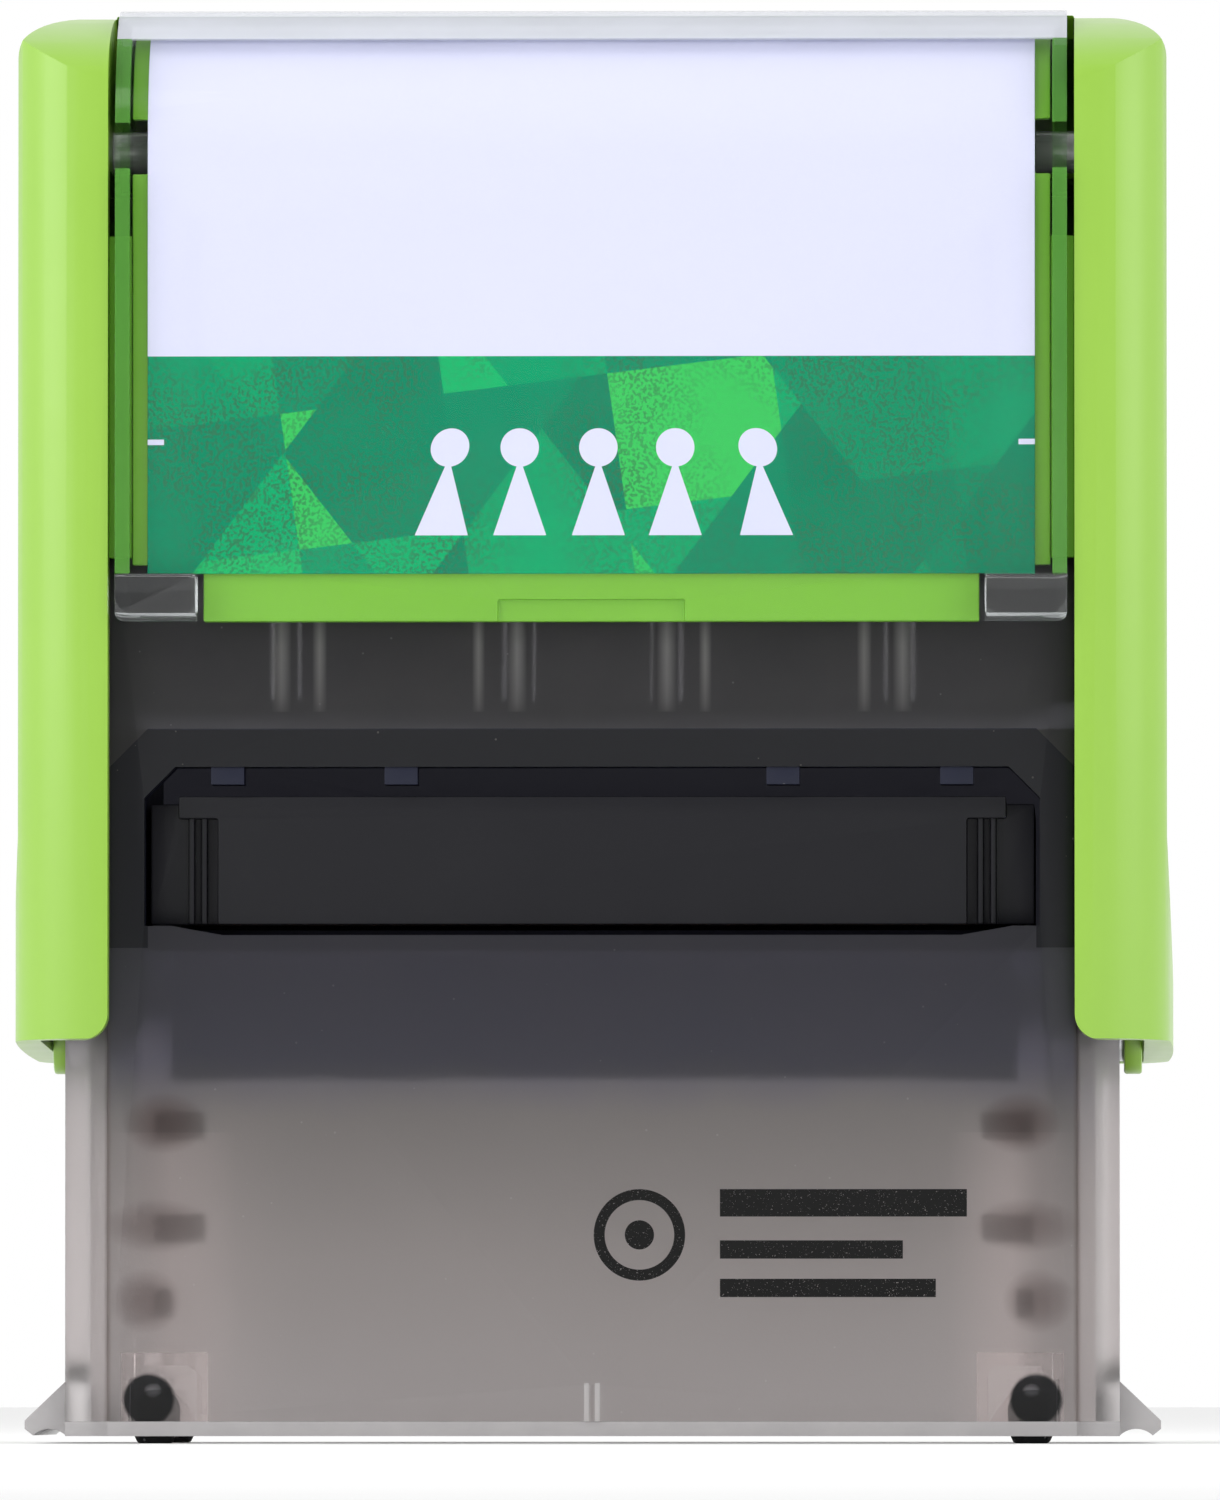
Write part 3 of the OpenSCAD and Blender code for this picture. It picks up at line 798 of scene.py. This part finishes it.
def front_outline():
    """The arm from the front: it leans in towards the top and flares at its foot."""
    arm = block("right_grip_shell", low, high)
    with editing(arm):
        pick(arm, "EDGE", lambda m, w: near(m.x, high.x) and near(m.z, high.z))
        bpy.ops.mesh.bevel(offset=corner_width, segments=14, affect="EDGES")
        pick(arm, "VERT", lambda m, n: m.z > high.z - corner_width - 0.1 * mm)
        bpy.ops.transform.resize(value=(1, 1, corner_height / corner_width),
                                 center_override=(0, 0, high.z))
        bpy.ops.mesh.select_all(action="SELECT")
        bpy.ops.mesh.bisect(plane_co=(0, 0, low.z + flare_height), plane_no=(0, 0, 1))
        pick(arm, "VERT", lambda m, n: m.x > low.x + 0.1 * mm and m.z > low.z + mm)
        bpy.ops.transform.translate(value=(-lean, 0, 0))
        pick(arm, "VERT", lambda m, n: near(m.z, low.z) and near(m.y, low.y))
        bpy.ops.transform.translate(value=(0, 0, heel))
    return arm


def plan_outline():
    """The arm from above: a flat inner side, two large rounds and a slightly crowned outer face."""
    plan = block("grip_plan", low - Vector((0, 0, mm)), high + Vector((0, 0, mm)))
    with editing(plan):
        bpy.ops.mesh.bisect(plane_co=(0, 0, 0), plane_no=(0, 1, 0))
        pick(plan, "VERT", lambda m, n: near(m.x, high.x) and abs(m.y) > mm)
        bpy.ops.transform.translate(value=(-crown, 0, 0))
        pick(plan, "EDGE", lambda m, w: along(w, 2) and m.x > low.x + mm and abs(m.y) > mm)
        bpy.ops.mesh.bevel(offset=nose, segments=14, affect="EDGES")
        pick(plan, "EDGE", lambda m, w: along(w, 2) and near(m.x, high.x) and abs(m.y) < mm)
        bpy.ops.mesh.bevel(offset=crown_round, segments=8, affect="EDGES")
    return plan


def side_outline():
    """The arm from the side, with a shallow dome for a top."""
    side = block("grip_side", low - Vector((mm, 0, mm)), high + Vector((mm, 0, 0)))
    with editing(side):
        pick(side, "EDGE", lambda m, w: along(w, 0) and near(m.z, high.z))
        bpy.ops.mesh.bevel(offset=dome_length, segments=18, affect="EDGES")
        pick(side, "VERT", lambda m, n: m.z > high.z - dome_length - 0.1 * mm)
        bpy.ops.transform.resize(value=(1, 1, dome_height / dome_length), center_override=(0, 0, high.z))
    return side


# %% [markdown]
# ## Inside the grips
# A solid arm would be heavy and would sink in its mould, so the real one is a shell with thin ribs. The
# cavity is cut from below, a shallow step above it takes the inner frame, the corners of both lips are
# rounded, and four ribs go back in. The left grip is a mirrored copy of the right one.

# %% Hollow the arm and add its ribs
def hollow_grip(grip):
    """Cuts the cavity, the rest for the inner frame and the lip corners, and adds four ribs."""
    frame_low, frame_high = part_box("handle_frame")
    wall, lip, lip_round, over = 1.8 * mm, 2.2 * mm, 1.4 * mm, 2 * mm
    front_foot_z = low.z + heel * 0.94  # how far the sloping heel has risen at the front lip
    cavity_top, cavity_round, rest_base, rest_gap = 69.65 * mm, 0.8 * mm, 69 * mm, 0.4 * mm
    rib_x, rib_half, rib_gap, rib_height = 29.2 * mm, 0.35 * mm, 1.2 * mm, 20 * mm
    inside_x, inside_y = high.x - wall, high.y - lip
    cavity = block("lower_cavity", (low.x - mm, -inside_y, low.z - mm), (inside_x, inside_y, cavity_top))
    with editing(cavity):
        pick(cavity, "EDGE", lambda m, w: along(w, 2) and m.x > low.x)
        bpy.ops.mesh.bevel(offset=cavity_round, segments=4, affect="EDGES")
    cut(grip, cavity)
    cut(grip, block("frame_rest", (low.x - mm, frame_low.y - rest_gap, rest_base),
                    (inside_x, inside_y, frame_high.z)))
    for side, foot_z in ((-1, front_foot_z), (1, low.z)):
        lip_y = side * (high.y - lip / 2)
        corner = block("lip_corner", (low.x - mm, lip_y - over, low.z - mm),
                       (low.x + lip_round, lip_y + over, foot_z + lip_round))
        keep = rod("lip_round", lip_round, (low.x + lip_round, lip_y - over - mm, foot_z + lip_round),
                   (low.x + lip_round, lip_y + over + mm, foot_z + lip_round))
        cut(grip, cut(corner, keep))
    for rib_y in (-11.4 * mm, -7.6 * mm, 7.6 * mm, 11.4 * mm):
        rib = block("grip_rib", (rib_x, rib_y - rib_half, low.z + rib_gap),
                    (high.x - rib_gap, rib_y + rib_half, low.z + rib_height))
        cut(grip, rib, "UNION")
    return grip


right_grip = cut(front_outline(), plan_outline(), "INTERSECT")
right_grip = hollow_grip(cut(right_grip, side_outline(), "INTERSECT"))
with editing(right_grip):
    bpy.ops.mesh.remove_doubles(threshold=0.003 * mm)
soften(right_grip, 0.3 * mm, 3, 30)
left_grip = mirrored(right_grip, "left_grip_shell")
done(right_grip, "handle", lime, "right_grip")
done(left_grip, "handle", lime, "left_grip")

# %% [markdown]
# ## Pieces refined from the CAD model
# The parts that are already right in shape only need their edges rounded and a finish. The width of the
# round follows the wall: thick mouldings get about a tenth of a millimetre, thin ones less.

# %% Refined mouldings
refined("rear_cover", "rear_cover_shell", "handle", lime, 0.25 * mm, 3)
refined("index_panel", "index_panel_shell", "handle", lime_panel, 0.1 * mm)
refined("housing", "housing_shell", "base", smoke)
refined("pad_cage", "pad_cage_frame", "base", navy, 0.1 * mm)
refined("left_cam_plate", "left_cam_track", "base", track_smoke, 0.1 * mm)
refined("right_cam_plate", "right_cam_track", "base", track_smoke, 0.1 * mm)
refined("handle_frame", "handle_inner_frame", "handle", lime, 0.15 * mm)
refined("die_carrier", "die_carrier_tray", "carrier", navy)
refined("text_plate", "print_plate", "carrier", polymer, 0.06 * mm)
refined("foam_cushion", "foam_tape_strip", "carrier", foam, 0.2 * mm)
refined("carrier_trunnions", "trunnion_shafts", "carrier", steel, 0.15 * mm)
refined("flip_pins", "flip_pin_pair", "carrier", steel)
refined("window_hinge_pins", "hinge_pin_pair", "handle", pin_steel, 0.1 * mm)
refined("pad_tray", "cartridge_shell", "cartridge", black)
refined("pad_felt", "ink_felt_block", "cartridge", felt, 0.25 * mm, 3)
refined("lock_button", "lock_button_cap", "lock", navy)

# %% [markdown]
# ## The window
# The window's guide rails are only a faint line on a real one, so the corners of the copy's rails are
# picked by their place behind the wall and pressed almost flat before the edges are rounded.

# %% Window
def make_window():
    window = merged_copy("window_cover", "clear_window")
    rail_x, rail_top, pressed = (21.5 * mm, 22 * mm), 67 * mm, 0.11 * mm
    wall_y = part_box("window_cover")[0].y + 0.8 * mm
    rail_y = (wall_y + 0.1 * mm, wall_y + 0.2 * mm)
    with editing(window):
        count = pick(window, "VERT", lambda m, n: rail_x[0] < abs(m.x) < rail_x[1] and m.z < rail_top
                     and rail_y[0] < m.y < rail_y[1])
        bpy.ops.transform.translate(value=(0, -pressed, 0))
    print("Rail corners pressed flat:", count)
    return soften(window, 0.12 * mm)


done(make_window(), "window", clear, "window_cover")

# %% [markdown]
# ## The feet
# A foot is a plug of rubber with a domed head and a tapered end on the paper. It could be spun from a
# profile, but a cylinder that is cut once, narrowed below and given a wide bevel above is quicker. One
# foot is made, and the other three are mirrored copies that are joined to it.

# %% Feet
def make_feet():
    low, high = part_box("rubber_feet")
    taper_top, taper, dome = 0.75 * mm, 0.95 * mm / foot_radius, 1.05 * mm
    x, y = high.x - foot_radius, high.y - foot_radius
    foot = rod("rubber_foot_set", foot_radius, (x, y, 0), (x, y, high.z), 40)
    with editing(foot):
        bpy.ops.mesh.bisect(plane_co=(0, 0, taper_top), plane_no=(0, 0, 1))
        pick(foot, "VERT", lambda m, n: near(m.z, 0))
        bpy.ops.transform.resize(value=(taper, taper, 1), center_override=(x, y, 0))
        pick(foot, "FACE", lambda m, n: n.z > 0.9)
        bpy.ops.mesh.bevel(offset=dome, segments=8, affect="EDGES")
    soften(foot, 0.12 * mm, angle=25)
    others = [mirrored(foot, "foot_copy", 0), mirrored(foot, "foot_copy", 1)]
    others.append(mirrored(others[0], "foot_copy", 1))
    alone(foot)
    for other in others:
        other.select_set(True)
    bpy.ops.object.join()
    return foot


done(make_feet(), "base", rubber, "rubber_feet")

# %% [markdown]
# ## The rim
# The rim's pockets hold the feet tightly. A thin gap between clear plastic and rubber would show as a
# grey ring, so each pocket of the copy is filled, and the foot looks moulded in.

# %% Rim, with the feet moulded into its pockets
def make_rim():
    rim = merged_copy("base_rim", "base_rim_shell")
    low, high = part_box("rubber_feet")
    fill_radius, fill_base, fill_top = 1.5 * mm, 0.5 * mm, 3.6 * mm
    for x in (low.x + foot_radius, high.x - foot_radius):
        for y in (low.y + foot_radius, high.y - foot_radius):
            cut(rim, rod("pocket_fill", fill_radius, (x, y, fill_base), (x, y, fill_top)), "UNION")
    return soften(rim, 0.1 * mm)


done(make_rim(), "base", pale_smoke, "base_rim")

# %% [markdown]
# ## The index card
# A card is one sheet that lies flat behind the window and then follows its curved top. A narrow plane is
# spun about the hinge's axis to draw the curve, and Solidify gives the sheet its thickness.

# %% Index card
def make_card():
    low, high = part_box("index_card")
    thick, arc = 0.25 * mm, math.radians(66)
    bpy.ops.object.select_all(action="DESELECT")
    bpy.ops.mesh.primitive_plane_add(size=1, location=(0, low.y + thick / 2, (low.z + hinge_z) / 2),
                                     rotation=(math.radians(90), 0, 0))
    card = bpy.context.object
    card.name = card.data.name = "index_card_sheet"
    card.scale = (high.x - low.x, hinge_z - low.z, 1)
    settle(card)
    with editing(card):
        pick(card, "EDGE", lambda m, w: near(m.z, hinge_z))
        bpy.ops.mesh.spin(steps=18, angle=arc, center=(0, hinge_y, hinge_z), axis=(1, 0, 0))
        bpy.ops.mesh.select_all(action="SELECT")
        bpy.ops.mesh.remove_doubles(threshold=0.001 * mm)
        bpy.ops.mesh.normals_make_consistent(inside=False)
    modify(card, "SOLIDIFY", thickness=thick, offset=0)
    return soften(card, 0.03 * mm, 1, 40)


done(make_card(), "handle", card_stock, "index_card")

# %% [markdown]
# ## The return springs
# A spring is one wire wound round a post. A small circle is swept by the Screw modifier, which turns and
# lifts it at once, and the two open ends of the wire are closed. It shortens as the handle comes down.

# %% Return springs
def make_spring(name, node):
    low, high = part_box(node)
    middle = (low + high) / 2
    wire, coil, turns, turn_steps = 0.35 * mm, 3.0 * mm, 9, 28
    bpy.ops.object.select_all(action="DESELECT")
    bpy.ops.mesh.primitive_circle_add(vertices=10, radius=wire, fill_type="NOTHING",
                                      location=(middle.x + coil, middle.y, low.z + wire),
                                      rotation=(math.radians(90), 0, 0))
    spring = bpy.context.object
    spring.name = spring.data.name = name
    alone(spring)
    bpy.ops.object.transform_apply(location=False, rotation=True, scale=True)
    bpy.context.scene.cursor.location = (middle.x, middle.y, low.z + wire)
    bpy.ops.object.origin_set(type="ORIGIN_CURSOR")
    climb = (high.z - low.z - 2 * wire) / turns
    modify(spring, "SCREW", angle=math.tau, screw_offset=climb, iterations=turns, steps=turn_steps,
           render_steps=turn_steps, use_merge_vertices=False, use_smooth_shade=True)
    settle(spring)
    with editing(spring):
        pick(spring, "VERT", lambda m, n: True)  # vertex mode, which the search for open ends needs
        bpy.ops.mesh.select_non_manifold(extend=False)
        bpy.ops.mesh.edge_face_add()
        bpy.ops.mesh.select_all(action="SELECT")
        bpy.ops.mesh.normals_make_consistent(inside=False)
    bpy.context.scene.cursor.location = (0, 0, 0)
    return spring


for side in ("left", "right"):
    spring = make_spring(side + "_spring_coil", side + "_return_spring")
    done(spring, "base", steel, side + "_return_spring")
    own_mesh(spring)

# %% [markdown]
# ## Stage, light and camera
# A wide pale floor and a white surround keep the light soft. The surround is darker in front, as in a
# studio with a person at the camera, so that glossy faces don't wash out.

# %% Floor and surround
def pale_floor():
    finish = Finish("pale_floor", Roughness=0.85)
    tone = finish.noise(40 * mm, 3)
    finish.feed(**{"Base Color": finish.blend(tone, (0.93, 0.93, 0.93), (0.91, 0.91, 0.91))})
    return finish.material


bpy.ops.object.select_all(action="DESELECT")
bpy.ops.mesh.primitive_plane_add(size=6, location=(0, 0, 0))
floor = bpy.context.object
floor.name = "studio_floor"
floor.data.materials.append(pale_floor())
floor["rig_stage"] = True


def surround():
    """White all round, but darker in front of the object, on the camera's side."""
    front_strength = 0.55
    world = bpy.data.worlds.new("soft_surround")
    world.use_nodes = True
    nodes, links = world.node_tree.nodes, world.node_tree.links
    split = nodes.new("ShaderNodeSeparateXYZ")
    links.new(nodes.new("ShaderNodeTexCoord").outputs["Generated"], split.inputs[0])
    fade = nodes.new("ShaderNodeMapRange")
    for name, value in (("From Min", -0.9), ("From Max", -0.25), ("To Min", front_strength),
                        ("To Max", 1.0)):
        fade.inputs[name].default_value = value
    links.new(split.outputs["Y"], fade.inputs["Value"])
    seen = nodes.new("ShaderNodeMath")
    seen.operation = "MAXIMUM"
    links.new(fade.outputs[0], seen.inputs[0])
    links.new(nodes.new("ShaderNodeLightPath").outputs["Is Camera Ray"], seen.inputs[1])
    nodes["Background"].inputs["Color"].default_value = (1, 1, 1, 1)
    links.new(seen.outputs[0], nodes["Background"].inputs["Strength"])
    return world


bpy.context.scene.world = surround()
bpy.context.scene.view_settings.view_transform = "Standard"
print("Stage:", floor.name, bpy.context.scene.world.name)

# %% [markdown]
# ## Soft boxes and camera
# Two tall soft boxes stand left and right, the left one stronger, so each grip carries one long
# highlight. The camera stands a little to the right and a little below the middle of the stamp, far
# away, so that its sides stay almost parallel. The lens is worked out from how wide the view is there.

# %% Soft boxes and camera
def soft_box(name, place, aim, size, power):
    bpy.ops.object.light_add(type="AREA", location=place)
    lamp = bpy.context.object
    lamp.name = name
    lamp.data.shape = "RECTANGLE"
    lamp.data.size, lamp.data.size_y = size
    lamp.data.energy = power
    lamp.rotation_euler = (Vector(aim) - Vector(place)).to_track_quat("-Z", "Y").to_euler()
    return lamp


middle = (cad_bounds[0] + cad_bounds[1]) / 2
soft_box("left_soft_box", (-0.40, -0.28, 0.22), middle, (0.40, 0.6), 1.75)
soft_box("right_soft_box", (0.42, -0.26, 0.16), middle, (0.34, 0.6), 1.20)

reach, view_width = 1200 * mm, 83.06 * mm
azimuth, elevation = math.radians(1.3), math.radians(-1.7)
aim = Vector((0.66 * mm, 0, 38.35 * mm))
back = Vector((math.sin(azimuth) * math.cos(elevation), -math.cos(azimuth) * math.cos(elevation),
               math.sin(elevation)))
bpy.ops.object.camera_add(location=aim + back * reach)
camera = bpy.context.object
camera.name = "studio_camera"
camera.rotation_euler = (-back).to_track_quat("-Z", "Y").to_euler()
camera.data.lens = camera.data.sensor_width * reach / view_width
camera.data.clip_start, camera.data.clip_end = 0.02, 20
bpy.context.scene.camera = camera
print("Camera height in mm:", round(camera.location.z / mm, 1), "lens:", round(camera.data.lens))

# %% [markdown]
# ## Size
# The visual model has to keep the CAD model's size, so both boxes are printed.

# %% Print the sizes
visual_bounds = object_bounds()
for label, (low, high) in (("CAD", cad_bounds), ("visual", visual_bounds)):
    print(label, "box in mm:", [round(v / mm, 2) for v in (*low, *high)])
